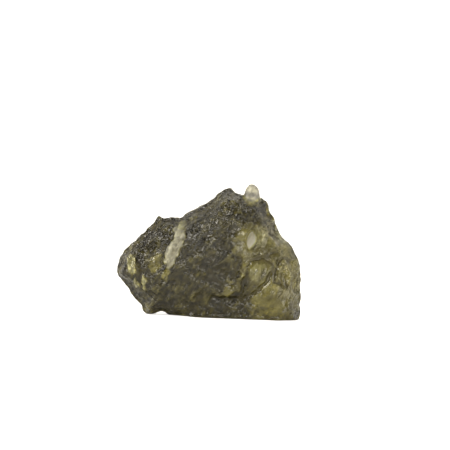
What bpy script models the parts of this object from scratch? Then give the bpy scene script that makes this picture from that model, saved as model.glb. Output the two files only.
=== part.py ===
"""A raw moldavite: one flake of natural green glass that stands on a small flat spot.

The stone is a swollen plate. Its outline is drawn from the front, the plate is swelled to the
thickness of the glass, and the ledge, pits and furrows of both faces are then pressed into it.
"""

import math
import random

import bmesh
import bpy
import numpy as np
from mathutils import Matrix, Vector, noise

MM = 0.001

# Driving dimensions, in millimetres. The front looks along +Y.
STONE_WIDTH = 12.95
FRONT_SWELL = 2.25
BACK_SWELL = 2.20
RIM_HALF_THICKNESS = 0.24
BASE_HALF_THICKNESS = 1.40
BASE_TRIM = 0.16

# The rim is a bevel that runs round the stone. Its width wanders between these two, and at its
# inner edge the glass has this share of its full thickness. The rest of the rise is slow.
BEVEL_NARROW = 0.45
BEVEL_WIDE = 1.05
BEVEL_SHARE = 0.58
SHOULDER = 2.0
SHOULDER_SHARE = 0.88
CROWN = 3.8

# The flake thins toward both ends, and is a little twisted, as if it had cooled while turning.
THIN_LEFT = 0.80
THIN_RIGHT = 0.84
TWIST = 0.10

# The outline leans by this much to the right of how the stone stands, because it was measured
# on a stone that was held with its base a little off level.
LEAN = math.radians(1.79)

# The outline from the front, clockwise from the left tip, in millimetres from the middle of the
# base. The stretches are the left lobe, the long slope to the peak, the right flank, the base.
LEFT_LOBE = [
    (-6.46, 3.25), (-6.39, 3.67), (-6.14, 4.34), (-5.86, 4.76), (-5.41, 5.21), (-4.99, 5.50),
    (-4.74, 5.81), (-4.43, 6.03), (-3.45, 7.19), (-3.27, 7.03), (-3.03, 6.99), (-2.68, 7.08),
    (-2.29, 7.03), (-1.85, 6.92),
]
LONG_SLOPE = [
    (-1.66, 7.28), (-1.31, 7.46), (-0.61, 7.75), (-0.12, 8.07), (0.44, 8.50), (1.10, 9.03),
    (1.28, 9.11), (1.54, 9.11), (1.73, 8.90), (2.08, 8.70), (2.47, 8.62), (2.95, 8.66), (3.46, 8.55),
]
RIGHT_FLANK = [
    (3.83, 8.37), (4.08, 8.09), (4.22, 7.78), (4.19, 7.52), (4.53, 7.17), (4.60, 6.79),
    (4.83, 6.20), (5.31, 5.48), (5.57, 5.36), (5.78, 5.08), (6.14, 4.41), (6.33, 3.85),
    (6.41, 3.22), (6.44, 2.59), (6.39, 2.24), (6.49, 1.58), (6.35, 1.05), (6.44, 0.49),
]
BASE_EDGE = [
    (6.25, -0.22), (5.76, -0.22), (2.89, -0.10), (-0.61, 0.04), (-1.45, 0.14), (-2.11, 0.13),
    (-2.82, 0.18), (-3.11, 0.49),
    (-3.31, 0.53), (-3.76, 0.35), (-4.18, 0.18), (-4.39, 0.28), (-4.60, 0.53), (-4.72, 0.95),
    (-4.88, 1.17), (-5.20, 1.38), (-5.55, 1.89), (-5.79, 2.38), (-6.21, 2.80),
]
OUTLINE = LEFT_LOBE + LONG_SLOPE + RIGHT_FLANK + BASE_EDGE

# The ledge, where the main body stands proud of the left lobe. It is a flat slope from its foot,
# on the lobe, up to its crest. Both run down the stone, from the notch to the ledge's tip.
LEDGE_FOOT = [(-2.28, 6.75), (-2.49, 6.26), (-2.35, 5.70), (-2.77, 5.28), (-3.12, 4.79), (-3.05, 3.81)]
LEDGE_CREST = [(-1.58, 6.75), (-1.58, 6.19), (-1.69, 5.49), (-2.04, 4.65), (-2.31, 4.02), (-2.70, 3.51)]
LEDGE_HEIGHT = 0.62
LEDGE_TIP = 3.5
LEDGE_FADE = 1.3

# Furrows of the front: the long one that bounds the swollen cell, and the short ones beside it.
FURROWS = [
    [(3.40, 4.23), (3.75, 4.37), (4.17, 4.16), (4.38, 3.88), (4.33, 3.32), (4.08, 2.73),
     (3.51, 2.13), (2.95, 1.78), (2.21, 1.50), (1.47, 1.38), (0.95, 1.43), (0.39, 1.64)],
    [(2.63, 3.04), (2.42, 2.69), (2.24, 2.06), (2.07, 1.74)],
    [(5.19, 4.30), (5.46, 4.23), (5.71, 3.98)],
    [(5.11, 4.23), (4.80, 3.88), (4.59, 3.46), (4.52, 2.76), (5.01, 2.55)],
    [(4.24, 5.91), (4.52, 5.77), (4.73, 5.56)],
    [(2.21, 4.44), (2.28, 3.46), (2.07, 3.11)],
]
FURROW_DEPTH = 0.09
FURROW_HALF_WIDTH = 0.30

# The nub: a clear little point that stands on the top edge.
NUB_MIDDLE = (3.03, -0.34, 8.50)
NUB_RADII = (0.55, 0.44, 0.93)

# Swellings and cups of the front: middle x, middle z, radius, height. A cup's height is negative.
FRONT_LUMPS = [
    (3.35, 3.20, 1.00, 0.16), (1.50, 2.20, 0.60, 0.17), (4.95, 1.60, 1.25, 0.14), (5.08, 3.50, 0.62, -0.16),
    (4.95, 5.00, 0.80, 0.10), (1.10, 6.60, 1.50, 0.14), (-0.40, 4.60, 1.30, 0.16), (0.90, 3.40, 1.00, -0.14),
    (-1.10, 2.30, 1.10, 0.14), (-3.90, 4.95, 0.80, -0.16), (-5.20, 3.80, 0.60, 0.14), (-3.30, 3.20, 0.60, 0.15),
    (-4.10, 2.10, 0.80, -0.10), (2.80, 7.60, 0.60, -0.12), (3.30, 6.60, 0.80, 0.10), (-4.20, 0.90, 0.40, 0.10),
]

# The chip: a small flat scar, shaped like a teardrop, that leans with the right flank.
CHIP_TOP = (3.05, 6.14)
CHIP_BOTTOM = (2.80, 4.95)
CHIP_HALF_WIDTH = 0.32
CHIP_DEPTH = 0.15

# Cups of the back, scattered. Natural glass is etched in the ground into cups that touch.
BACK_CUPS = 34
BACK_CUP_RADIUS = (0.55, 1.35)
BACK_CUP_DEPTH = (0.10, 0.26)
BACK_SEED = 5

# Flow wrinkles that run up to the right, over all of the stone.
WRINKLE_SLOPE = math.radians(58)
WRINKLE_LENGTH = 2.2
WRINKLE_SPACING = 0.62
WRINKLE_HEIGHT = 0.075
GRAIN_SPACING = 0.85
GRAIN_HEIGHT = 0.085

# Mesh sizes: the spacing of the working surface, and the triangles that are kept.
WORKING_SPACING = 0.11
KEPT_TRIANGLES = 8600


def clear_scene():
    """Removes the objects that the file opened with."""
    for obj in list(bpy.data.objects):
        bpy.data.objects.remove(obj, do_unlink=True)


def glass_material():
    """Bottle-green natural glass, duller where it is etched."""
    material = bpy.data.materials.new("moldavite_glass")
    material.use_nodes = True
    shader = material.node_tree.nodes["Principled BSDF"]
    shader.inputs["Base Color"].default_value = (0.16, 0.15, 0.075, 1)
    shader.inputs["Roughness"].default_value = 0.3
    shader.inputs["Metallic"].default_value = 0
    shader.inputs["IOR"].default_value = 1.49
    shader.inputs["Transmission Weight"].default_value = 0.8
    return material


def smooth_step(low, high, value):
    """0 below low, 1 above high, and an even rise between them."""
    part = np.clip((value - low) / (high - low), 0, 1)
    return part * part * (3 - 2 * part)


def distance_to_path(x, z, path, closed=False):
    """How far each point of the front view is from a drawn line."""
    corners = list(path)
    if closed:
        corners.append(path[0])
    nearest = np.full(len(x), np.inf)
    for (x0, z0), (x1, z1) in zip(corners[:-1], corners[1:]):
        run_x = x1 - x0
        run_z = z1 - z0
        along = ((x - x0) * run_x + (z - z0) * run_z) / (run_x**2 + run_z**2)
        along = np.clip(along, 0, 1)
        gap = np.hypot(x - x0 - along * run_x, z - z0 - along * run_z)
        nearest = np.minimum(nearest, gap)
    return nearest


def x_on_line(line, z):
    """Where a line that runs down the stone is at each height."""
    heights = [point[1] for point in reversed(line)]
    places = [point[0] for point in reversed(line)]
    return np.interp(z, heights, places)


def outline_slab(collection):
    """The outline as a filled curve, extruded to a slab and made one mesh object."""
    curve = bpy.data.curves.new("stone_outline", "CURVE")
    curve.dimensions = "2D"
    curve.fill_mode = "BOTH"
    curve.extrude = 1
    spline = curve.splines.new("POLY")
    spline.points.add(len(OUTLINE) - 1)
    for point, (x, z) in zip(spline.points, OUTLINE):
        point.co = (x, z, 0, 1)
    spline.use_cyclic_u = True
    guide = bpy.data.objects.new("stone_outline", curve)
    guide.rotation_euler.x = math.pi / 2
    collection.objects.link(guide)
    bpy.context.view_layer.update()
    graph = bpy.context.evaluated_depsgraph_get()
    mesh = bpy.data.meshes.new_from_object(guide.evaluated_get(graph))
    mesh.transform(guide.matrix_world)
    bpy.data.objects.remove(guide, do_unlink=True)
    mesh.name = "moldavite"
    stone = bpy.data.objects.new("moldavite", mesh)
    collection.objects.link(stone)
    return stone


def keep_modifiers(stone):
    """Turns the stone's modifiers into plain mesh."""
    bpy.context.view_layer.update()
    graph = bpy.context.evaluated_depsgraph_get()
    before = stone.data
    stone.data = bpy.data.meshes.new_from_object(stone.evaluated_get(graph))
    stone.modifiers.clear()
    bpy.data.meshes.remove(before)
    stone.data.name = "moldavite"


def even_surface(stone, spacing):
    """Covers the stone in an even net of small faces."""
    weld = stone.modifiers.new("weld", "WELD")
    weld.merge_threshold = 0.0001
    remesh = stone.modifiers.new("remesh", "REMESH")
    remesh.mode = "VOXEL"
    remesh.voxel_size = spacing
    keep_modifiers(stone)


def read_points(mesh):
    flat = np.empty(len(mesh.vertices) * 3)
    mesh.vertices.foreach_get("co", flat)
    return flat.reshape(-1, 3)


def read_normals(mesh):
    flat = np.empty(len(mesh.vertices) * 3)
    mesh.vertices.foreach_get("normal", flat)
    return flat.reshape(-1, 3)


def write_points(mesh, points):
    mesh.vertices.foreach_set("co", points.reshape(-1))
    mesh.update()


def bevel_width(x, z, side):
    """How wide the bevel is here. The two faces wander differently."""
    width = np.empty(len(x))
    for index in range(len(x)):
        wander = noise.noise(Vector((x[index] / 2.4, side[index], z[index] / 2.4)))
        width[index] = 0.5 + 1.1 * wander
    return BEVEL_NARROW + (BEVEL_WIDE - BEVEL_NARROW) * np.clip(width, 0, 1)


def swell(stone):
    """Gives the slab the glass's thickness: thin at the rims, thick inside, thick at the base."""
    points = read_points(stone.data)
    x, y, z = points.T
    inside = distance_to_path(x, z, OUTLINE, closed=True)
    near_base = smooth_step(2.2, 0.2, z) * smooth_step(-2.8, -0.4, x) * smooth_step(6.7, 4.6, x)
    rim = RIM_HALF_THICKNESS + (BASE_HALF_THICKNESS - RIM_HALF_THICKNESS) * near_base
    bevel = bevel_width(x, z, np.sign(y) * 3)
    share = np.clip(inside / bevel, 0, 1) * BEVEL_SHARE
    share += smooth_step(0, 1, (inside - bevel) / (SHOULDER - bevel)) * (SHOULDER_SHARE - BEVEL_SHARE)
    share += smooth_step(SHOULDER, CROWN, inside) * (1 - SHOULDER_SHARE)
    ends = np.interp(x, [-6.4, -2.0, 1.5, 6.4], [THIN_LEFT, 1, 1, THIN_RIGHT])
    front = rim + (FRONT_SWELL * ends - rim) * share
    back = rim + (BACK_SWELL * ends - rim) * share
    points[:, 1] = np.where(y < 0, y * front, y * back)
    points[:, 1] += TWIST * (z - 4.5) * x / STONE_WIDTH * 2
    write_points(stone.data, points)


def add_nub(stone):
    """Sets the little point on the top edge. The next even surface makes it one with the stone."""
    shape = bmesh.new()
    shape.from_mesh(stone.data)
    place = Matrix.Translation(NUB_MIDDLE) @ Matrix.Diagonal((*NUB_RADII, 1))
    bmesh.ops.create_icosphere(shape, subdivisions=4, radius=1, matrix=place)
    shape.to_mesh(stone.data)
    shape.free()


def ledge(x, z):
    """How far the ledge lifts the main body, and lowers the lobe to its left."""
    foot = x_on_line(LEDGE_FOOT, z)
    crest = x_on_line(LEDGE_CREST, z)
    climb = np.clip((x - foot) / (crest - foot), 0, 1)
    fade_down = smooth_step(LEDGE_TIP - LEDGE_FADE, LEDGE_TIP, z)
    fade_right = 1 - smooth_step(0, 3.2, x - crest)
    fade_left = 1 - smooth_step(0.4, 2.2, foot - x)
    return LEDGE_HEIGHT * fade_down * (0.45 * climb * fade_right - 0.55 * (1 - climb) * fade_left)


def lumps(x, z, rows):
    """Round swellings and cups, each a smooth bell."""
    total = np.zeros(len(x))
    for middle_x, middle_z, radius, height in rows:
        away = np.hypot(x - middle_x, z - middle_z) / radius
        total += height * np.clip(1 - away**2, 0, None) ** 1.5
    return total


def chip(x, z):
    """The scar's depth: a flat floor with a steep side, wider below than above."""
    run_x = CHIP_BOTTOM[0] - CHIP_TOP[0]
    run_z = CHIP_BOTTOM[1] - CHIP_TOP[1]
    length = math.hypot(run_x, run_z)
    along = ((x - CHIP_TOP[0]) * run_x + (z - CHIP_TOP[1]) * run_z) / length**2
    across = ((x - CHIP_TOP[0]) * run_z - (z - CHIP_TOP[1]) * run_x) / length
    half_width = CHIP_HALF_WIDTH * np.sin(np.clip(along, 0, 1) * math.pi) ** 0.7
    within = smooth_step(0.14, -0.10, np.abs(across) - half_width)
    return -CHIP_DEPTH * within * smooth_step(-0.05, 0.08, along) * smooth_step(1.05, 0.92, along)


def front_relief(x, z):
    """What the front face adds to the swollen plate, outwards."""
    total = ledge(x, z) + lumps(x, z, FRONT_LUMPS) + chip(x, z)
    for path in FURROWS:
        gap = distance_to_path(x, z, path)
        total -= FURROW_DEPTH * smooth_step(FURROW_HALF_WIDTH, 0, gap)
    return total


def back_relief(x, z):
    """Cups that touch, with the ridges between them left standing."""
    scatter = random.Random(BACK_SEED)
    total = np.zeros(len(x))
    for _ in range(BACK_CUPS):
        middle_x = scatter.uniform(-5.8, 6.0)
        middle_z = scatter.uniform(0.6, 8.4)
        radius = scatter.uniform(*BACK_CUP_RADIUS)
        depth = scatter.uniform(*BACK_CUP_DEPTH)
        away = np.hypot(x - middle_x, z - middle_z) / radius
        total = np.minimum(total, -depth * np.clip(1 - away**2, 0, 1))
    return total


def wrinkles(points):
    """Flow wrinkles and etched grain, from smooth noise that always comes out the same."""
    x, y, z = points.T
    along = (x * math.cos(WRINKLE_SLOPE) + z * math.sin(WRINKLE_SLOPE)) / WRINKLE_LENGTH
    across = (z * math.cos(WRINKLE_SLOPE) - x * math.sin(WRINKLE_SLOPE)) / WRINKLE_SPACING
    depth = y / WRINKLE_LENGTH
    total = np.empty(len(points))
    for index in range(len(points)):
        flow = noise.noise(Vector((along[index], across[index], depth[index])))
        grain = noise.noise(Vector(points[index] / GRAIN_SPACING) + Vector((7, 3, 5)))
        total[index] = WRINKLE_HEIGHT * flow + GRAIN_HEIGHT * grain
    return total


def press_relief(stone):
    """Presses both faces' relief in along Y, then the wrinkles in along the surface's normals."""
    points = read_points(stone.data)
    normals = read_normals(stone.data)
    x, _, z = points.T
    toward_front = np.clip(-normals[:, 1] * 1.4, 0, 1)
    toward_back = np.clip(normals[:, 1] * 1.4, 0, 1)
    points[:, 1] -= toward_front * front_relief(x, z)
    points[:, 1] += toward_back * back_relief(x, z)
    steady = 0.35 + 0.65 * np.abs(normals[:, 1])
    points += normals * (steady * wrinkles(points))[:, None]
    write_points(stone.data, points)


def thin_out(stone, triangles):
    """Keeps only the triangles that the shape needs."""
    faces = sum(len(face.vertices) - 2 for face in stone.data.polygons)
    decimate = stone.modifiers.new("decimate", "DECIMATE")
    decimate.ratio = min(1, triangles / faces)
    keep_modifiers(stone)


def stand_on_base(stone):
    """Turns the stone level, takes off what is below its resting spot and closes the cut."""
    mesh = stone.data
    points = read_points(mesh)
    x = points[:, 0].copy()
    z = points[:, 2].copy()
    points[:, 0] = x * math.cos(LEAN) - z * math.sin(LEAN)
    points[:, 2] = x * math.sin(LEAN) + z * math.cos(LEAN) - BASE_TRIM
    write_points(mesh, points)
    shape = bmesh.new()
    shape.from_mesh(mesh)
    everything = shape.verts[:] + shape.edges[:] + shape.faces[:]
    cut = bmesh.ops.bisect_plane(
        shape, geom=everything, dist=0.004, plane_co=(0, 0, 0), plane_no=(0, 0, -1), clear_outer=True
    )
    rim = [piece for piece in cut["geom_cut"] if isinstance(piece, bmesh.types.BMEdge)]
    bmesh.ops.holes_fill(shape, edges=rim, sides=0)
    bmesh.ops.triangulate(shape, faces=shape.faces[:])
    bmesh.ops.recalc_face_normals(shape, faces=shape.faces[:])
    shape.to_mesh(mesh)
    shape.free()


def centre(stone):
    """Puts the middle of the stone's width and thickness over the origin."""
    points = read_points(stone.data)
    middle = (points.min(axis=0) + points.max(axis=0)) / 2
    middle[2] = points[:, 2].min()
    print("moved by", np.round(-middle, 4), "mm")
    write_points(stone.data, points - middle)


def main():
    clear_scene()
    collection = bpy.data.collections.new("moldavite")
    bpy.context.scene.collection.children.link(collection)
    stone = outline_slab(collection)
    even_surface(stone, WORKING_SPACING)
    swell(stone)
    add_nub(stone)
    even_surface(stone, WORKING_SPACING)
    press_relief(stone)
    thin_out(stone, KEPT_TRIANGLES)
    stand_on_base(stone)
    centre(stone)
    stone.data.transform(Matrix.Scale(MM, 4))
    stone.data.materials.clear()
    stone.data.materials.append(glass_material())
    print(f"moldavite: {len(stone.data.polygons)} triangles, {stone.dimensions[:]} m")


main()
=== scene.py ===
# %% [markdown]
# # A raw moldavite
# Moldavite is natural glass. It was splashed up molten, froze in flight, broke, and then lay in
# the ground, where acid water etched its skin into furrows, cups and wrinkles. Its middle stayed
# clear. This lesson dresses one such flake: a finer skin is worked over the plain solid, and the
# glass gets its colour from its own depth and from the soil on its skin.

# %% Load the solid
import math

import bmesh
import bpy
import numpy as np
from mathutils import Matrix, Vector, noise


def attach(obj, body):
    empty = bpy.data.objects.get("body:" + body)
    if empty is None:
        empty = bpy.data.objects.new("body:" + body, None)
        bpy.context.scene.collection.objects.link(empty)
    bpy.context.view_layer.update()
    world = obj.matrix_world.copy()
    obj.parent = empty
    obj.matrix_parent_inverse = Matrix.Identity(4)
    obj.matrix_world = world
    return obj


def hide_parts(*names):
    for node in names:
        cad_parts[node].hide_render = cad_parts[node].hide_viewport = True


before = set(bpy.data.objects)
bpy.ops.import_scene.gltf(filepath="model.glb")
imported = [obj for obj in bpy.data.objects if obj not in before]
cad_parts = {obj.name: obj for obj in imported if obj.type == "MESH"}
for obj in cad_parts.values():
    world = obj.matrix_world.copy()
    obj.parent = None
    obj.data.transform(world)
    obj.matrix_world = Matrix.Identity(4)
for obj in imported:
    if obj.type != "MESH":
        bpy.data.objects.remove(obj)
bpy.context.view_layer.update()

MM = 0.001
scene = bpy.context.scene

# %% [markdown]
# ## Two ways to say where something is
# The stone was drawn from the front with its base a little off level. It then was turned level and
# its middle was put over the origin. Everything on its faces is still easiest to give in the
# drawing's own millimetres, so two small helpers turn one kind of place into the other.

# %% Places on the drawing
LEAN = math.radians(1.79)
SHIFT_X = 0.050
SHIFT_Z = -0.157


def stand(x, z):
    """From the drawing's millimetres to the standing stone's."""
    level_x = x * math.cos(LEAN) - z * math.sin(LEAN)
    level_z = x * math.sin(LEAN) + z * math.cos(LEAN)
    return level_x + SHIFT_X, level_z + SHIFT_Z


def lay_back(x, z):
    """From the standing stone's millimetres to the drawing's."""
    level_x = x - SHIFT_X
    level_z = z - SHIFT_Z
    drawn_x = level_x * math.cos(LEAN) + level_z * math.sin(LEAN)
    drawn_z = level_z * math.cos(LEAN) - level_x * math.sin(LEAN)
    return drawn_x, drawn_z


print("the drawing's origin stands at", [round(value, 3) for value in stand(0, 0)], "mm")

# %% [markdown]
# ## The camera
# The look of clear glass depends on what stands behind it, so the camera and the light are set
# before the stone is touched. A short lens would swell what is near it, so a long lens looks from
# nearly level. The drawing was made in a square view of this width, whose middle is a little right
# of the stone. The camera leans as the drawing did.

# %% Camera
VIEW_WIDTH = 31.5
VIEW_MIDDLE = (1.155, 6.538)
LENS = 100
SENSOR = 36
ELEVATION = math.radians(2.0)

aim_x, aim_z = stand(*VIEW_MIDDLE)
distance = VIEW_WIDTH * LENS / SENSOR
aim = Vector((aim_x, 0, aim_z)) * MM
away = Vector((0, -math.cos(ELEVATION), math.sin(ELEVATION))) * distance * MM

camera = bpy.data.objects.new("camera", bpy.data.cameras.new("camera"))
camera.data.lens = LENS
camera.data.sensor_width = SENSOR
camera.data.clip_start = 0.001
camera.data.clip_end = 20
camera.location = aim + away
facing = away.to_track_quat("Z", "Y").to_matrix().to_4x4()
camera.matrix_world = Matrix.Translation(aim + away) @ facing @ Matrix.Rotation(LEAN, 4, "Z")
scene.collection.objects.link(camera)
scene.camera = camera
print(f"camera {distance:.1f} mm away, {math.degrees(LEAN):.2f} degrees of roll")

# %% [markdown]
# ## The room's light
# Clear glass shows what is behind it. In front of plain white it would be one flat tone, because
# every ray that bends inside it still ends on white. So the room is bright behind and above the
# stone and dimmer on the camera's side: rays that are turned back by the glass come out darker,
# which draws its edges and wrinkles. A few big lamps could do this too, but a world that fades
# from one side to the other leaves no hard shapes in the glass.

# %% Bright behind, dim in front
BRIGHT = 1.70
DIM = 0.20
UPWARD_SHARE = 0.55
FADE_FROM = -0.15
FADE_TO = 0.85

world = bpy.data.worlds.new("room")
scene.world = world
world.use_nodes = True
nodes = world.node_tree.nodes
links = world.node_tree.links
nodes.clear()
place = nodes.new("ShaderNodeTexCoord")
split = nodes.new("ShaderNodeSeparateXYZ")
links.new(place.outputs["Generated"], split.inputs["Vector"])
lift = nodes.new("ShaderNodeMath")
lift.operation = "MULTIPLY_ADD"
lift.inputs[1].default_value = UPWARD_SHARE
links.new(split.outputs["Z"], lift.inputs[0])
links.new(split.outputs["Y"], lift.inputs[2])
fade = nodes.new("ShaderNodeMapRange")
fade.interpolation_type = "SMOOTHSTEP"
fade.inputs["From Min"].default_value = FADE_FROM
fade.inputs["From Max"].default_value = FADE_TO
fade.inputs["To Min"].default_value = DIM
fade.inputs["To Max"].default_value = BRIGHT
links.new(lift.outputs["Value"], fade.inputs["Value"])
print("room:", BRIGHT, "behind and above,", DIM, "on the camera's side")

# %% [markdown]
# The picture's background has to be plain white from every side, also from behind, where the room
# is dim. So the camera's own rays always get the bright value, and all other rays get the fade.
# The colour is a little warm, which keeps the sheen on the stone's rims from looking blue.

# %% White for the camera
ROOM_COLOUR = (1, 0.95, 0.84, 1)

seen = nodes.new("ShaderNodeLightPath")
choose = nodes.new("ShaderNodeMix")
choose.data_type = "FLOAT"
links.new(seen.outputs["Is Camera Ray"], choose.inputs["Factor"])
links.new(fade.outputs["Result"], choose.inputs["A"])
choose.inputs["B"].default_value = BRIGHT
background = nodes.new("ShaderNodeBackground")
background.inputs["Color"].default_value = ROOM_COLOUR
links.new(choose.outputs["Result"], background.inputs["Strength"])
output = nodes.new("ShaderNodeOutputWorld")
links.new(background.outputs["Background"], output.inputs["Surface"])
print("room:", len(nodes), "nodes")

# %% [markdown]
# ## Lamps
# The room alone gives no sparkle. Four soft square lamps add it: the largest share comes from the
# upper left, two low ones catch the ends, and a small one to the right of the camera lights the
# pale faces that look straight at it. They stand ten to thirteen stone widths away.

# %% Four lamps
LAMP_COLOUR = (1.0, 0.96, 0.88)
LAMPS = [
    ("key_light", (-70, -95, 120), 50, 0.17),
    ("left_light", (-130, -30, 25), 60, 0.08),
    ("right_light", (130, -45, 40), 60, 0.06),
    ("front_light", (35, -140, 35), 30, 0.07),
]


def add_lamp(name, place_mm, size_mm, watts):
    """A square soft lamp that faces the stone."""
    data = bpy.data.lights.new(name, "AREA")
    data.size = size_mm * MM
    data.energy = watts
    data.color = LAMP_COLOUR
    lamp = bpy.data.objects.new(name, data)
    where = Vector(place_mm) * MM
    lamp.location = where
    lamp.rotation_euler = (where - aim).to_track_quat("Z", "Y").to_euler()
    scene.collection.objects.link(lamp)


for name, place_mm, size_mm, watts in LAMPS:
    add_lamp(name, place_mm, size_mm, watts)
    print(name, watts, "W")

# %% [markdown]
# ## Bounces
# Inside glass a ray turns back many times before it gets out. With few bounces those rays end in
# black, so the stone gets more of them than a scene without glass needs.

# %% Colour and bounces
scene.view_settings.view_transform = "Standard"
scene.cycles.max_bounces = 24
scene.cycles.transmission_bounces = 20
scene.cycles.volume_bounces = 2
print("bounces:", scene.cycles.max_bounces)

# %% [markdown]
# ## The floor
# A wide round sheet of matt white paper. A picture of a small thing is often lit until its
# background is past white, so only the stone's own soft shadow shows. Brighter lamps would do it
# but would burn out the stone too. The sheet glows a little instead, for the camera alone, so that
# the glow doesn't shine up into the glass.

# %% Floor
FLOOR_RADIUS = 1500
FLOOR_WHITE = (0.9, 0.9, 0.9, 1)
FLOOR_GLOW = 0.55
FLOOR_ROUGHNESS = 0.9

shape = bmesh.new()
bmesh.ops.create_circle(shape, cap_ends=True, segments=64, radius=FLOOR_RADIUS * MM)
floor_mesh = bpy.data.meshes.new("floor")
shape.to_mesh(floor_mesh)
shape.free()
floor = bpy.data.objects.new("floor", floor_mesh)
scene.collection.objects.link(floor)

paper = bpy.data.materials.new("white_paper")
paper.use_nodes = True
nodes = paper.node_tree.nodes
links = paper.node_tree.links
sheet = nodes["Principled BSDF"]
sheet.inputs["Base Color"].default_value = FLOOR_WHITE
sheet.inputs["Roughness"].default_value = FLOOR_ROUGHNESS
sheet.inputs["Emission Color"].default_value = (1, 1, 1, 1)
camera_only = nodes.new("ShaderNodeLightPath")
glow = nodes.new("ShaderNodeMath")
glow.operation = "MULTIPLY"
glow.inputs[1].default_value = FLOOR_GLOW
links.new(camera_only.outputs["Is Camera Ray"], glow.inputs[0])
links.new(glow.outputs["Value"], sheet.inputs["Emission Strength"])
floor_mesh.materials.append(paper)
print("floor", FLOOR_RADIUS * 2, "mm across")

# %% [markdown]
# ## Reading and writing points
# A mesh of a hundred thousand points is slow to change one point at a time. Three helpers take
# all the points out as one table, put them back, and turn a piece's modifiers into plain mesh.

# %% Helpers for meshes
def read_points(mesh, what="co"):
    """All points of a mesh, or all their normals, as rows of x, y, z."""
    flat = np.empty(len(mesh.vertices) * 3)
    mesh.vertices.foreach_get(what, flat)
    return flat.reshape(-1, 3)


def write_points(mesh, points):
    """Puts the rows of x, y, z back."""
    mesh.vertices.foreach_set("co", points.reshape(-1))
    mesh.update()


def keep_modifiers(piece):
    """Turns a piece's modifiers into plain mesh."""
    bpy.context.view_layer.update()
    graph = bpy.context.evaluated_depsgraph_get()
    before = piece.data
    piece.data = bpy.data.meshes.new_from_object(piece.evaluated_get(graph))
    piece.modifiers.clear()
    bpy.data.meshes.remove(before)


print("helpers for meshes are ready")

# %% [markdown]
# ## A finer skin
# The solid has the ledge, the furrows and the cups, in about eight thousand triangles. The real
# skin has wrinkles a tenth of a millimetre wide. The solid's mesh is copied, its loose triangles
# are merged, and a Remesh modifier covers it in an even net. Subdividing the triangles would leave
# long thin ones, which crease. This is done in millimetres, because at a stone's size in metres the
# modifiers' smallest steps are too coarse.

# %% Copy the solid
MERGE_DISTANCE = 0.0005

shape = bmesh.new()
shape.from_mesh(bpy.data.objects["moldavite"].data)
shape.transform(Matrix.Scale(1 / MM, 4))
bmesh.ops.remove_doubles(shape, verts=shape.verts[:], dist=MERGE_DISTANCE)
skin_mesh = bpy.data.meshes.new("moldavite_skin")
shape.to_mesh(skin_mesh)
shape.free()
stone = bpy.data.objects.new("moldavite_skin", skin_mesh)
scene.collection.objects.link(stone)
low = read_points(stone.data).min(axis=0)
high = read_points(stone.data).max(axis=0)
print("copy:", len(stone.data.vertices), "points")

# %% [markdown]
# The net's spacing sets the finest wrinkle that it can hold. At six hundredths of a millimetre the
# skin stays under two hundred thousand triangles. Three rounds of smoothing take away the small
# steps that a voxel net leaves.

# %% Cover it in an even net
NET_SPACING = 0.060
SMOOTHING = 0.5
SMOOTHING_ROUNDS = 3

net = stone.modifiers.new("net", "REMESH")
net.mode = "VOXEL"
net.voxel_size = NET_SPACING
soften = stone.modifiers.new("soften", "SMOOTH")
soften.factor = SMOOTHING
soften.iterations = SMOOTHING_ROUNDS
keep_modifiers(stone)
print("net:", len(stone.data.vertices), "points,", len(stone.data.polygons), "faces")

# %% [markdown]
# ## Lines on the drawing
# These are the lines that a person would draw on the stone's front with a pencil: the two ragged
# edges, the foot and the crest of the ledge, the furrows between the swollen cells, and the middle
# line of the teardrop scar. Each is a few places in the drawing's millimetres.

# %% Drawn lines
EDGE_LEFT = [(-6.46, 3.25), (-6.14, 4.34), (-5.41, 5.21), (-4.74, 5.81), (-3.45, 7.19)]
EDGE_RIGHT = [
    (4.19, 7.52), (4.60, 6.79), (4.83, 6.20), (5.31, 5.48), (6.14, 4.41), (6.41, 3.22), (6.39, 2.24),
]
LEDGE_FOOT = [
    (-2.28, 6.75), (-2.49, 6.26), (-2.35, 5.70), (-2.77, 5.28), (-3.12, 4.79), (-3.05, 3.81),
]
LEDGE_CREST = [
    (-1.58, 6.75), (-1.58, 6.19), (-1.69, 5.49), (-2.04, 4.65), (-2.31, 4.02), (-2.70, 3.51),
]
FURROWS = [
    [(3.40, 4.23), (3.75, 4.37), (4.17, 4.16), (4.38, 3.88), (4.33, 3.32), (4.08, 2.73),
     (3.51, 2.13), (2.95, 1.78), (2.21, 1.50), (1.47, 1.38), (0.95, 1.43), (0.39, 1.64)],
    [(2.63, 3.04), (2.42, 2.69), (2.24, 2.06), (2.07, 1.74)],
    [(5.19, 4.30), (5.46, 4.23), (5.71, 3.98)],
    [(5.11, 4.23), (4.80, 3.88), (4.59, 3.46), (4.52, 2.76), (5.01, 2.55)],
    [(4.24, 5.91), (4.52, 5.77), (4.73, 5.56)],
    [(2.21, 4.44), (2.28, 3.46), (2.07, 3.11)],
    [(2.63, 3.04), (2.75, 3.70), (3.05, 4.15), (3.40, 4.23)],
]
CHIP = [(3.05, 6.14), (2.98, 5.55), (2.80, 4.95)]
print(len(FURROWS), "furrows are drawn")

# %% [markdown]
# ## Soft shapes over the drawing
# A mask is one number for each point, from 0 to 1. Masks with soft edges blend one kind of skin
# into the next, as etching does. Four helpers make them: an even step, the distance to a line, a
# soft oval, and the place of a line at a height.

# %% Helpers for masks
def smooth_step(low, high, value):
    """0 below low, 1 above high, and an even rise between them."""
    part = np.clip((value - low) / (high - low), 0, 1)
    return part * part * (3 - 2 * part)


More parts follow.
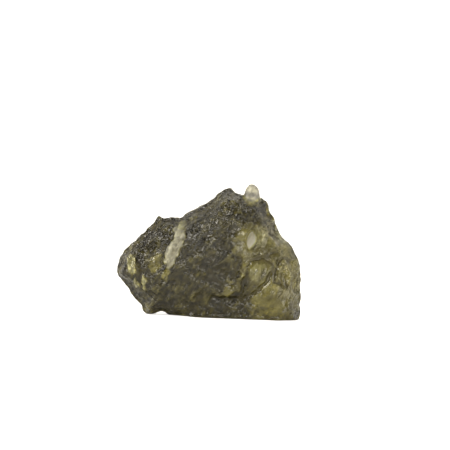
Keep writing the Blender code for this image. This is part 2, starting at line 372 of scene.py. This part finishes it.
def distance_to_path(x, z, path):
    """How far each point of the drawing is from a drawn line."""
    nearest = np.full(len(x), np.inf)
    for (x0, z0), (x1, z1) in zip(path[:-1], path[1:]):
        run_x = x1 - x0
        run_z = z1 - z0
        along = ((x - x0) * run_x + (z - z0) * run_z) / (run_x**2 + run_z**2)
        along = np.clip(along, 0, 1)
        gap = np.hypot(x - x0 - along * run_x, z - z0 - along * run_z)
        nearest = np.minimum(nearest, gap)
    return nearest


def patch(x, z, middle, radii, turn=0):
    """A soft oval: 1 in its middle and 0 outside."""
    angle = math.radians(turn)
    across = ((x - middle[0]) * math.cos(angle) + (z - middle[1]) * math.sin(angle)) / radii[0]
    along = ((z - middle[1]) * math.cos(angle) - (x - middle[0]) * math.sin(angle)) / radii[1]
    return smooth_step(1.25, 0.75, np.hypot(across, along))


def x_on_line(line, z):
    """Where a line that runs down the stone is at each height."""
    heights = [point[1] for point in reversed(line)]
    places = [point[0] for point in reversed(line)]
    return np.interp(z, heights, places)


print("helpers for masks are ready")

# %% [markdown]
# ## What is where on the front
# The etching isn't the same all over. The middle is finely wrinkled and looks dark. The right side
# is smoother, in big swollen cells, and one small lobe left of it is smooth too. The ledge is a
# bare sloping face between two of the drawn lines.

# %% Smooth side and ledge
SMALL_LOBE = ((1.50, 2.20), (0.60, 0.60))


def smooth_side(x, z):
    """The right side, where the glass is smooth and lies in swollen cells."""
    right = smooth_step(1.5, 2.9, x + 0.2 * (z - 3.5))
    below_top = smooth_step(7.4, 5.6, z)
    return np.maximum(right * below_top, patch(x, z, *SMALL_LOBE))


def ledge_band(x, z):
    """The ledge's sloping face, between its foot and its crest."""
    foot = x_on_line(LEDGE_FOOT, z)
    crest = x_on_line(LEDGE_CREST, z)
    across = smooth_step(-0.04, 0.10, x - foot) * smooth_step(0.06, -0.06, x - crest)
    return across * smooth_step(3.45, 3.75, z) * smooth_step(7.0, 6.6, z)


points = read_points(stone.data)
normals = read_points(stone.data, "normal")
drawn_x, drawn_z = lay_back(points[:, 0], points[:, 2])
print("smooth side covers", round(100 * smooth_side(drawn_x, drawn_z).mean()), "% of the points")

# %% [markdown]
# The teardrop scar is where a small flake came off not long ago. On the left lobe a few clear
# places let the light behind show through. Each is a soft oval with its middle, its two radii, its
# turn in degrees and how clear it is.

# %% Scar and windows
CHIP_HALF_WIDTH = 0.30
WINDOWS = [
    ((-5.32, 3.85), (0.34, 0.72), 6, 0.94),
    ((-5.05, 2.52), (0.15, 0.50), 4, 0.92),
    ((-4.50, 2.62), (0.15, 0.58), 4, 0.92),
    ((-3.60, 4.00), (0.40, 0.72), -20, 0.66),
    ((-2.95, 3.10), (0.24, 0.56), -10, 0.72),
]


def chip_mask(x, z):
    """The teardrop scar: a line that is fat in its middle and runs out at both ends."""
    part = np.clip((CHIP[0][1] - z) / (CHIP[0][1] - CHIP[-1][1]), 0, 1)
    half_width = CHIP_HALF_WIDTH * np.sin(part * math.pi) ** 0.7
    return smooth_step(0.05, -0.05, distance_to_path(x, z, CHIP) - half_width)


def window_mask(x, z):
    """Clear places on the left lobe, where the light behind shows through."""
    total = np.zeros(len(x))
    for middle, radii, turn, amount in WINDOWS:
        total = np.maximum(total, amount * patch(x, z, middle, radii, turn))
    return total


print("scar covers", round(100 * chip_mask(drawn_x, drawn_z).mean(), 1), "% of the points")

# %% [markdown]
# ## Noise for the etching
# Etched glass is all small hollows that meet in sharp crests. The distance to the nearest of many
# scattered seeds, squared, has just that form, and Blender's Voronoi noise gives it. Ridges that
# follow the old flow of the melt come from smooth noise that is stretched one way and folded over.
# Blender picks a new start for its vector noise each time it opens, so a seed is set first.

# %% Cups, flow and bends
NOISE_SEED = 4
FLOW_SPACING = 0.34
FLOW_LENGTH = 1.9
FLOW_HEIGHT = 0.055
FLOW_SHARPNESS = 3.2
CUP_FULL = 0.7

noise.seed_set(NOISE_SEED)


def cups(points, size, depth):
    """Hollows of this size that touch, with crests between them. Crests are at 0."""
    total = np.empty(len(points))
    for index, point in enumerate(points):
        nearest = noise.voronoi(Vector(point / size))[0][0]
        total[index] = nearest * nearest
    return depth * (np.clip(total, 0, CUP_FULL) / CUP_FULL - 1)


def flow(points, slope):
    """Long ridges that run up the stone at this slope. Crests are at 0."""
    x, y, z = points.T
    along = (x * np.cos(slope) + z * np.sin(slope)) / FLOW_LENGTH
    across = (z * np.cos(slope) - x * np.sin(slope)) / FLOW_SPACING
    depth = y / FLOW_LENGTH
    total = np.empty(len(points))
    for index in range(len(points)):
        total[index] = abs(noise.noise(Vector((along[index], across[index], depth[index]))))
    return -FLOW_HEIGHT * np.clip(total * FLOW_SHARPNESS, 0, 1)


def bend(points, reach, size):
    """Pushes points about a little, so that what is drawn with them isn't round or straight."""
    moved = points.copy()
    for index, point in enumerate(points):
        moved[index] += Vector(noise.noise_vector(Vector(point / size))) * reach
    return moved


print("noise seed", NOISE_SEED)

# %% [markdown]
# ## Fray the masks
# A mask read at a point's true place has an edge as clean as the pencil's. Read at a bent place,
# the same mask has a torn edge, which is how a natural skin changes. The ledge and the windows are
# frayed finely, and the border of the smooth side also sways.

# %% Masks on the points
FRAY = (0.20, 0.35)
SWAY = (0.55, 1.1)
NUB = ((3.03, 8.95), (0.70, 0.88))

height = points[:, 2]
frayed = bend(points, *FRAY)
swayed = bend(frayed, *SWAY)
frayed_x, frayed_z = lay_back(frayed[:, 0], frayed[:, 2])
swayed_x, swayed_z = lay_back(swayed[:, 0], swayed[:, 2])

facing_front = smooth_step(0.15, 0.6, -normals[:, 1])
smooth = smooth_side(swayed_x, swayed_z) * facing_front * (0.6 + 0.4 * smooth_step(0.4, 1.4, height))
nub = patch(drawn_x, drawn_z, *NUB)
chip = chip_mask(drawn_x, drawn_z) * facing_front
band = ledge_band(frayed_x, frayed_z) * facing_front
window = window_mask(frayed_x, frayed_z) * facing_front
rough = (1 - 0.65 * smooth) * (1 - 0.9 * chip) * (1 - 0.45 * band) * (1 - 0.5 * window)
rough *= 1 - 0.7 * nub
print("mean roughness of the etching", round(float(rough.mean()), 2))

# %% [markdown]
# ## Wrinkles and cups
# Cups of three sizes lie in each other, as they do where acid went on working in its own hollows.
# The ridges climb steeply on the left lobe and at a slant elsewhere. On the smooth side the same
# noise, turned inside out and larger, swells into rounded cells.

# %% Etching
CUP_SIZES = [(0.62, 0.105), (0.33, 0.080), (0.19, 0.034)]
FLOW_SLOPE = math.radians(58)
LOBE_SLOPE = math.radians(86)
LOBE_END = -4.1
SKIN_LIFT = 0.06
CELL_SIZE = 1.35
CELL_HEIGHT = 0.11
CUP_BEND = (0.16, 0.9)
CELL_BEND = (0.35, 1.3)

bent = bend(points, *CUP_BEND)
relief = np.zeros(len(points))
for size, depth in CUP_SIZES:
    relief += cups(bent, size, depth)
relief += flow(bent, np.where(drawn_x < LOBE_END, LOBE_SLOPE, FLOW_SLOPE))
relief = relief * rough + SKIN_LIFT
cells = -CELL_HEIGHT - cups(bend(points, *CELL_BEND), CELL_SIZE, CELL_HEIGHT)
relief += smooth * (1 - chip) * cells
print(f"etching from {relief.min():.2f} to {relief.max():.2f} mm")

# %% [markdown]
# ## Furrows and the scar
# The furrows are cut along their drawn lines with a V-shaped bottom. The teardrop scar is a small
# flat face that leans up and to the left, so it takes more light than the skin around it.

# %% Furrows and scar
FURROW_DEPTH = 0.09
FURROW_HALF_WIDTH = 0.17
CHIP_TILT = (0.16, 0.18)
CHIP_DEPTH = 0.08

bent_x, bent_z = lay_back(bent[:, 0], bent[:, 2])
furrow = np.zeros(len(points))
for path in FURROWS:
    gap = distance_to_path(bent_x, bent_z, path)
    furrow = np.maximum(furrow, np.clip(1 - gap / FURROW_HALF_WIDTH, 0, 1))
furrow *= smooth_step(0.0, 0.3, -normals[:, 1])
relief -= FURROW_DEPTH * furrow

chip_x, chip_z = CHIP[1]
scar = CHIP_TILT[0] * (drawn_x - chip_x) - CHIP_TILT[1] * (drawn_z - chip_z) - CHIP_DEPTH
relief += chip * scar
print("furrows cover", round(100 * float((furrow > 0).mean()), 1), "% of the points")

# %% [markdown]
# ## Press the relief into the net
# Each point moves along its normal. The relief is calmer on the rims, which carry the outline, and
# dies out just above the flat base. No point may leave the solid's box, because others rely on the
# size that the solid says.

# %% Move the points
EDGE_CALM = 0.5
EDGE_LIFT = 0.07

edge_on = smooth_step(0.55, 0.15, np.abs(normals[:, 1]))
above_base = smooth_step(0.03, 0.30, height)
push = relief * (1 - EDGE_CALM * edge_on) + EDGE_LIFT * edge_on * (1 - nub)
worked = points + normals * (push * above_base)[:, None]
worked = np.clip(worked, low, high)
write_points(stone.data, worked)
print(f"relief from {relief.min():.2f} to {relief.max():.2f} mm")

# %% [markdown]
# ## How clean the skin is, and where light is painted on it
# A natural skin is clean where it broke or was swollen smooth, and dull with soil where it is
# deeply etched. One number for each point says how clean it is. It also carries painted light,
# since a high value makes the tone paler as well as glossier. On the ledge, the scar, a narrow rise
# and the right flank the pale tone is a painted highlight. The clear windows and the smooth side
# are partly clearer glass and partly painted light that comes through it. It could be painted by
# hand, but the masks know it already. Thin rims are painted paler, as painted light, because more
# light comes through them.

# %% Clean and dull places, with painted light
# Paler places of the skin. The narrow fourth one, on the rise at the smooth side's border, is a
# painted highlight.
PALE_PATCHES = [
    ((-4.25, 0.55), (0.36, 0.28), 0, 0.63),
    ((3.45, 3.20), (0.75, 0.95), -25, 0.74),
    ((3.60, 5.30), (1.10, 0.95), 0, 0.68),
    ((2.30, 3.30), (0.09, 0.32), 15, 0.88),
]
SKIN_CLEAN = 0.20
SMOOTH_GAIN = 0.34
RIM_PAINTED_LIGHT = 0.62
LEDGE_CLEAN_AND_HIGHLIGHT = 0.95
WINDOW_CLEAN_AND_LIGHT = 0.80
BACK_CLEAN = 0.35
RIGHT_END_GAIN = 0.20
FLANK = ((4.85, 6.10), (0.42, 1.10), 32)
FLANK_HIGHLIGHT = 0.84

# The smooth side is paler: partly the clean skin of the swollen cells, partly painted light that
# comes through the glass there.
clean_and_painted_light = SKIN_CLEAN + SMOOTH_GAIN * smooth
for middle, radii, turn, amount in PALE_PATCHES:
    clean_and_painted_light = np.maximum(clean_and_painted_light, amount * patch(drawn_x, drawn_z, middle, radii, turn))
to_left = distance_to_path(drawn_x, drawn_z, EDGE_LEFT)
to_right = distance_to_path(drawn_x, drawn_z, EDGE_RIGHT)
# Painted light: thin rims are painted paler, as if lit through.
clean_and_painted_light = np.maximum(clean_and_painted_light, RIM_PAINTED_LIGHT * smooth_step(0.45, 0.12, np.minimum(to_left, to_right)))
# Painted highlight: the ledge's sloping face is painted near white, for the light it reflects.
clean_and_painted_light = np.maximum(clean_and_painted_light, LEDGE_CLEAN_AND_HIGHLIGHT * band)
# Partly painted light: the clear windows are painted paler, for the light behind that shows through
# them.
clean_and_painted_light = np.maximum(clean_and_painted_light, WINDOW_CLEAN_AND_LIGHT * window)
# Painted highlight: the teardrop scar is painted white, for the light its face reflects.
clean_and_painted_light = np.maximum(clean_and_painted_light, chip_mask(drawn_x, drawn_z))

sides = BACK_CLEAN + RIGHT_END_GAIN * smooth_step(2.5, 5.0, drawn_x)
# Painted highlight: a band on the right flank, facing front and sideways, is painted pale.
flank = patch(drawn_x, drawn_z, *FLANK)
flank *= smooth_step(0.15, -0.05, normals[:, 1])
clean_and_painted_light = clean_and_painted_light * facing_front + sides * (1 - facing_front)
clean_and_painted_light = np.maximum(clean_and_painted_light, np.maximum(nub, FLANK_HIGHLIGHT * flank))
print("mean cleanness", round(float(clean_and_painted_light.mean()), 2))

# %% [markdown]
# ## Soil, frost and streaks
# Three more numbers go with each point. Soil stays in the hollows, and the furrows are made
# darkest, which draws them as dark lines. A fresh break is frosted, so it scatters light; its
# white tone is a painted highlight, set with the cleanness above. Streaks show where the skin is
# etched. All four are kept as attributes of the mesh, so they follow the surface.

# %% Store them on the mesh
HOLLOW_DEPTH = 0.16
NUB_SOIL = 0.62
FURROW_DARKENING = 0.95
LEDGE_FROST = 0.6
NUB_FROST = 0.5
WINDOW_STREAKS = 0.7


def store(mesh, name, values):
    """Puts one number on each point, for the material to read."""
    layer = mesh.attributes.new(name, "FLOAT", "POINT")
    layer.data.foreach_set("value", values.astype(np.float32))
    print(f"{name}: mean {values.mean():.2f}")


hollow = np.clip((SKIN_LIFT - relief) / HOLLOW_DEPTH, 0, 1)
hollow *= (1 - 0.5 * window) * (1 - 0.9 * nub) * (1 - 0.6 * chip)
hollow = np.maximum(hollow, NUB_SOIL * nub)
# The furrows are darkened most, which draws them as dark lines.
hollow = np.maximum(hollow, FURROW_DARKENING * smooth_step(0.15, 0.6, furrow))
frosted = np.maximum(np.maximum(chip, LEDGE_FROST * band), NUB_FROST * nub)
streaky = np.maximum(np.clip(rough, 0, 1), WINDOW_STREAKS * window)

store(stone.data, "clean_and_painted_light", clean_and_painted_light)
store(stone.data, "hollow", hollow)
store(stone.data, "frosted", frosted)
store(stone.data, "streaky", streaky)

# %% [markdown]
# ## The glass
# Three things make it glass: it lets light through, it bends it, and it swallows blue faster than
# the rest on the way, so thick places are darker and more olive. Painting the surface green would
# give the same tone at a thin rim and in the middle, and glass never looks so. Part of the light is
# kept back for the dull skin.

# %% Clear, bending and absorbing
LET_THROUGH = 0.77
BENDING = 1.49
GLOSS = 0.30
PASSED_COLOUR = (0.65, 0.632, 0.05, 1)
ABSORPTION = 600

glass = bpy.data.materials.new("moldavite_glass")
glass.use_nodes = True
nodes = glass.node_tree.nodes
links = glass.node_tree.links
shader = nodes["Principled BSDF"]
shader.inputs["Transmission Weight"].default_value = LET_THROUGH
shader.inputs["IOR"].default_value = BENDING
shader.inputs["Specular IOR Level"].default_value = GLOSS

absorb = nodes.new("ShaderNodeVolumeAbsorption")
absorb.inputs["Color"].default_value = PASSED_COLOUR
absorb.inputs["Density"].default_value = ABSORPTION
links.new(absorb.outputs["Volume"], nodes["Material Output"].inputs["Volume"])
print("absorption per millimetre:", ABSORPTION * MM)

# %% [markdown]
# ## Three short ways to add a node
# The material reads the stored numbers, turns one range into another, and uses noise, several
# times each. Three helpers keep those steps to one line.

# %% Helpers for the material
def attribute(name):
    """A node that reads one of the stored numbers."""
    node = nodes.new("ShaderNodeAttribute")
    node.attribute_name = name
    return node.outputs["Fac"]


def remap(value, from_low, from_high, to_low, to_high):
    """A node that turns one range of numbers into another."""
    node = nodes.new("ShaderNodeMapRange")
    node.inputs["From Min"].default_value = from_low
    node.inputs["From Max"].default_value = from_high
    node.inputs["To Min"].default_value = to_low
    node.inputs["To Max"].default_value = to_high
    links.new(value, node.inputs["Value"])
    return node.outputs["Result"]


def noise_texture(where, scale, detail):
    """A node of Blender's smooth noise at these coordinates."""
    node = nodes.new("ShaderNodeTexNoise")
    node.inputs["Scale"].default_value = scale
    node.inputs["Detail"].default_value = detail
    links.new(where, node.inputs["Vector"])
    return node


print("helpers for the material are ready")

# %% [markdown]
# ## The skin's tone
# The tone runs from a dark olive, where the skin is dull, over a lighter olive and a pale straw to
# white, where it is clean or carries a painted highlight. The hollow number, soil in the hollows
# and the darkened furrows, multiplies it by a dull grey brown.

# %% Tone and soil
TONES = [
    (0.10, (0.055, 0.050, 0.022, 1)),
    (0.58, (0.46, 0.42, 0.16, 1)),
    (0.86, (0.88, 0.87, 0.52, 1)),
    (1.00, (1.0, 0.98, 0.92, 1)),
]
SOIL = (0.16, 0.145, 0.11, 1)

tone = nodes.new("ShaderNodeValToRGB")
stops = tone.color_ramp.elements
stops[0].position, stops[0].color = TONES[0]
stops[1].position, stops[1].color = TONES[-1]
for position, colour in TONES[1:-1]:
    stops.new(position).color = colour
links.new(attribute("clean_and_painted_light"), tone.inputs["Fac"])

soil = nodes.new("ShaderNodeMix")
soil.data_type = "RGBA"
soil.blend_type = "MULTIPLY"
soil.inputs["B"].default_value = SOIL
links.new(attribute("hollow"), soil.inputs["Factor"])
links.new(tone.outputs["Color"], soil.inputs["A"])
print(len(stops), "tones")

# %% [markdown]
# ## Streaks and specks
# The etched skin is mottled: streaks follow the old flow, and fine specks lie between them. The
# bright specks are painted glints. The streaks are noise in a Mapping node that is turned to the
# flow's slope and squeezed, so each speck of noise becomes a line. Both are multiplied into the
# tone, only where the skin is streaky.

# %% Streaks and specks
STREAK_LENGTH = 0.0011
STREAK_WIDTH = 0.00022
STREAK_ROUGHNESS = 0.65
SPECKS_PER_METRE = 3600

place = nodes.new("ShaderNodeTexCoord")
along_flow = nodes.new("ShaderNodeMapping")
along_flow.vector_type = "TEXTURE"
along_flow.inputs["Rotation"].default_value = (0, -FLOW_SLOPE, 0)
along_flow.inputs["Scale"].default_value = (STREAK_LENGTH, STREAK_LENGTH, STREAK_WIDTH)
links.new(place.outputs["Object"], along_flow.inputs["Vector"])
streaks = noise_texture(along_flow.outputs["Vector"], 1, 5)
streaks.inputs["Roughness"].default_value = STREAK_ROUGHNESS
# Painted glints: where this noise is high, the tone is made nearly twice as bright.
specks_and_glints = noise_texture(place.outputs["Object"], SPECKS_PER_METRE, 2)

both = nodes.new("ShaderNodeMath")
both.operation = "MULTIPLY"
links.new(remap(streaks.outputs["Fac"], 0.36, 0.64, 0.35, 1.9), both.inputs[0])
links.new(remap(specks_and_glints.outputs["Fac"], 0.36, 0.66, 0.40, 1.9), both.inputs[1])
mottle = nodes.new("ShaderNodeMix")
mottle.data_type = "RGBA"
mottle.blend_type = "MULTIPLY"
links.new(attribute("streaky"), mottle.inputs["Factor"])
links.new(soil.outputs["Result"], mottle.inputs["A"])
links.new(both.outputs["Value"], mottle.inputs["B"])
links.new(mottle.outputs["Result"], shader.inputs["Base Color"])
print("streaks", round(STREAK_LENGTH / STREAK_WIDTH), "times as long as wide")

# %% [markdown]
# ## Dull, glossy and frosted
# Etched skin has a soft sheen and clean skin a sharp one, and frost blurs what shows through it.
# A fine grain, smaller than the net can hold, breaks up the shine.

# %% Roughness and grain
DULL_ROUGHNESS = 0.30
CLEAN_ROUGHNESS = 0.12
FROST = 0.45
GRAINS_PER_METRE = 7000
GRAIN_STRENGTH = 0.5
GRAIN_HEIGHT = 0.00006

frost = nodes.new("ShaderNodeMath")
frost.operation = "MULTIPLY_ADD"
frost.inputs[1].default_value = FROST
links.new(attribute("frosted"), frost.inputs[0])
links.new(remap(attribute("clean_and_painted_light"), 0, 1, DULL_ROUGHNESS, CLEAN_ROUGHNESS), frost.inputs[2])
links.new(frost.outputs["Value"], shader.inputs["Roughness"])

grain = noise_texture(place.outputs["Object"], GRAINS_PER_METRE, 4)
bump = nodes.new("ShaderNodeBump")
bump.inputs["Strength"].default_value = GRAIN_STRENGTH
bump.inputs["Distance"].default_value = GRAIN_HEIGHT
links.new(grain.outputs["Fac"], bump.inputs["Height"])
links.new(bump.outputs["Normal"], shader.inputs["Normal"])
print("glass:", len(nodes), "nodes")

# %% [markdown]
# ## In place
# The skin was worked in millimetres about the same origin as the solid, so one scaling puts it
# where the solid is. It then stands for the solid in every view.

# %% Put the skin in place
stone.data.transform(Matrix.Scale(MM, 4))
stone.data.materials.clear()
stone.data.materials.append(glass)
for face in stone.data.polygons:
    face.use_smooth = True
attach(stone, "root")
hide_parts("moldavite")
print("skin:", [round(value / MM, 2) for value in stone.dimensions], "mm")
